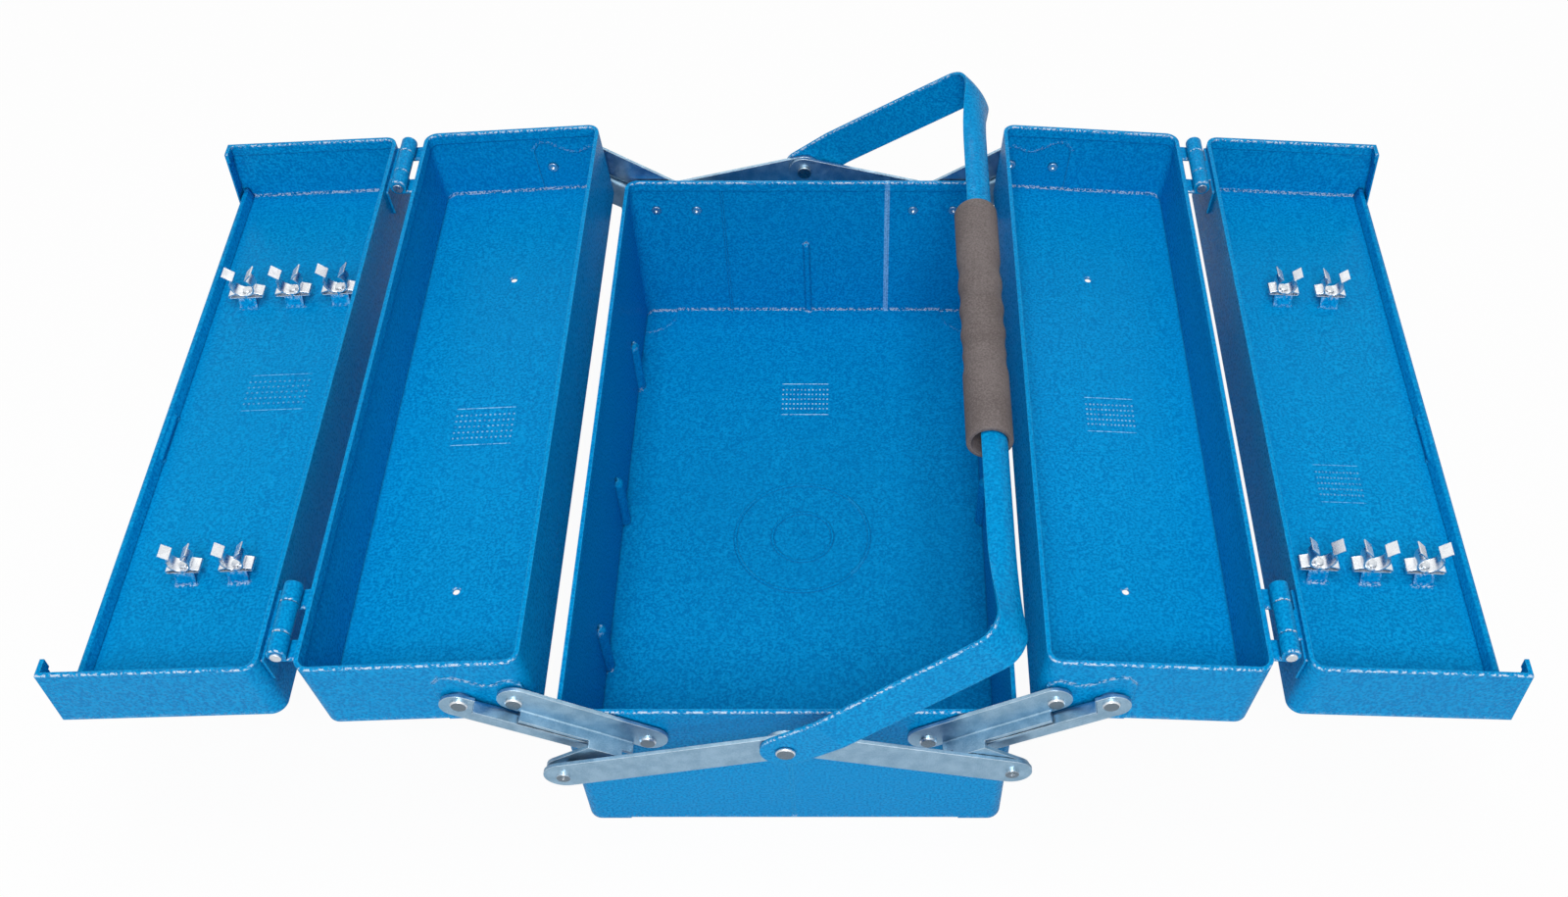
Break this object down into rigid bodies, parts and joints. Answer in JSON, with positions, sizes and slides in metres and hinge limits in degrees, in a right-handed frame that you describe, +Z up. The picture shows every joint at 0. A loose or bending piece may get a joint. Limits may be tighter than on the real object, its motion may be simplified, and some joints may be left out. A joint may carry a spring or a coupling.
{
  "type": "cantilever tool box",
  "caption": "Steel cantilever tool box: trays swing out from the base on cranked arms, hinged lids fold flat beyond them, and tie bars join the cranks to a padded carrying handle.",
  "frame": {"origin": "on the floor, under the middle of the base box", "axes": "+X to the right tray across the width, +Y along the length towards the back, +Z up; drawn fully open"},
  "size_m": [0.768, 0.4658, 0.207],
  "materials": {
    "blue_enamel": "satin hammered enamel",
    "zinc_steel": "zinc plated, satin",
    "bright_rivet": "bright zinc",
    "spring_steel": "bright",
    "grip_foam": "matt foam"
  },
  "bodies": {
    "base": {"base_box": "blue_enamel", "base_rivets": "bright_rivet", "base_washers": "zinc_steel"},
    "inner_arms_left": {"inner_arm_left_front": "zinc_steel", "inner_arm_left_back": "zinc_steel", "crank_rivets_left": "bright_rivet", "crank_spacers": "zinc_steel"},
    "outer_arms_left": {"outer_arm_left_front": "zinc_steel", "outer_arm_left_back": "zinc_steel"},
    "tray_left": {"tray_left": "blue_enamel", "tray_rivets_left": "bright_rivet", "tray_washers_left": "zinc_steel", "hinge_tray_leaves_left": "blue_enamel", "hinge_pins_left": "bright_rivet"},
    "lid_left": {"lid_left": "blue_enamel", "hinge_lid_leaves_left": "blue_enamel", "clips_left_front": "spring_steel", "clips_left_back": "spring_steel", "clip_rivets_left_front": "bright_rivet", "clip_rivets_left_back": "bright_rivet"},
    "ties_left": {"tie_bar_left_front": "zinc_steel", "tie_bar_left_back": "zinc_steel", "tie_rivets_left": "bright_rivet"},
    "inner_arms_right": {"inner_arm_right_front": "zinc_steel", "inner_arm_right_back": "zinc_steel", "crank_rivets_right": "bright_rivet"},
    "outer_arms_right": {"outer_arm_right_front": "zinc_steel", "outer_arm_right_back": "zinc_steel"},
    "tray_right": {"tray_right": "blue_enamel", "tray_rivets_right": "bright_rivet", "tray_washers_right": "zinc_steel", "hinge_tray_leaves_right": "blue_enamel", "hinge_pins_right": "bright_rivet"},
    "lid_right": {"lid_right": "blue_enamel", "hinge_lid_leaves_right": "blue_enamel", "clips_right_front": "spring_steel", "clips_right_back": "spring_steel", "clip_rivets_right_front": "bright_rivet", "clip_rivets_right_back": "bright_rivet"},
    "ties_right": {"tie_bar_right_front": "zinc_steel", "tie_bar_right_back": "zinc_steel", "tie_rivets_right": "bright_rivet"},
    "handle_lift": {"centre_pins": "bright_rivet"},
    "handle": {"handle": "blue_enamel", "handle_grip": "grip_foam"}
  },
  "joints": [
    {"name": "fold_right", "type": "hinge", "parent": "base", "child": "inner_arms_right", "pos_m": [0.075, 0, 0.0965], "axis": [0, -1, 0], "range_deg": [0, 111.05]},
    {"name": "outer_fold_right", "type": "hinge", "parent": "base", "child": "outer_arms_right", "pos_m": [0.10288, 0, 0.0965], "axis": [0, -1, 0], "range_deg": [0, 112.21]},
    {"name": "tray_turn_right", "type": "hinge", "parent": "inner_arms_right", "child": "tray_right", "pos_m": [0.13949, 0, 0.13633], "axis": [0, -1, 0], "range_deg": [-107.25, 0]},
    {"name": "lid_close_right", "type": "hinge", "parent": "tray_right", "child": "lid_right", "pos_m": [0.25692, 0, 0.15997], "axis": [0, -1, 0], "range_deg": [0, 179.4]},
    {"name": "tie_swing_right", "type": "hinge", "parent": "handle_lift", "child": "ties_right", "pos_m": [0, 0, 0.1166], "axis": [0, -1, 0], "range_deg": [-42.46, 0]},
    {"name": "fold_left", "type": "hinge", "parent": "base", "child": "inner_arms_left", "pos_m": [-0.075, 0, 0.0965], "axis": [0, 1, 0], "range_deg": [0, 111.05]},
    {"name": "outer_fold_left", "type": "hinge", "parent": "base", "child": "outer_arms_left", "pos_m": [-0.10288, 0, 0.0965], "axis": [0, 1, 0], "range_deg": [0, 112.21]},
    {"name": "tray_turn_left", "type": "hinge", "parent": "inner_arms_left", "child": "tray_left", "pos_m": [-0.13949, 0, 0.13633], "axis": [0, 1, 0], "range_deg": [-107.25, 0]},
    {"name": "lid_close_left", "type": "hinge", "parent": "tray_left", "child": "lid_left", "pos_m": [-0.25692, 0, 0.15997], "axis": [0, 1, 0], "range_deg": [0, 179.4]},
    {"name": "tie_swing_left", "type": "hinge", "parent": "handle_lift", "child": "ties_left", "pos_m": [0, 0, 0.1166], "axis": [0, 1, 0], "range_deg": [-42.46, 0]},
    {"name": "handle_rise", "type": "slide", "parent": "base", "child": "handle_lift", "axis": [0, 0, 1], "range_m": [0, 0.12871]},
    {"name": "handle_swing", "type": "hinge", "parent": "handle_lift", "child": "handle", "pos_m": [0, 0, 0.1166], "axis": [0, -1, 0], "range_deg": [0, 110]}
  ],
  "couplings": [
    {"joint": "fold_right", "follows": "handle_rise", "rad_per_m": 15.053},
    {"joint": "outer_fold_right", "follows": "handle_rise", "rad_per_m": 15.21},
    {"joint": "tray_turn_right", "follows": "handle_rise", "rad_per_m": -14.537},
    {"joint": "tie_swing_right", "follows": "handle_rise", "rad_per_m": -5.7511},
    {"joint": "fold_left", "follows": "handle_rise", "rad_per_m": 15.053},
    {"joint": "outer_fold_left", "follows": "handle_rise", "rad_per_m": 15.21},
    {"joint": "tray_turn_left", "follows": "handle_rise", "rad_per_m": -14.537},
    {"joint": "tie_swing_left", "follows": "handle_rise", "rad_per_m": -5.7511}
  ]
}
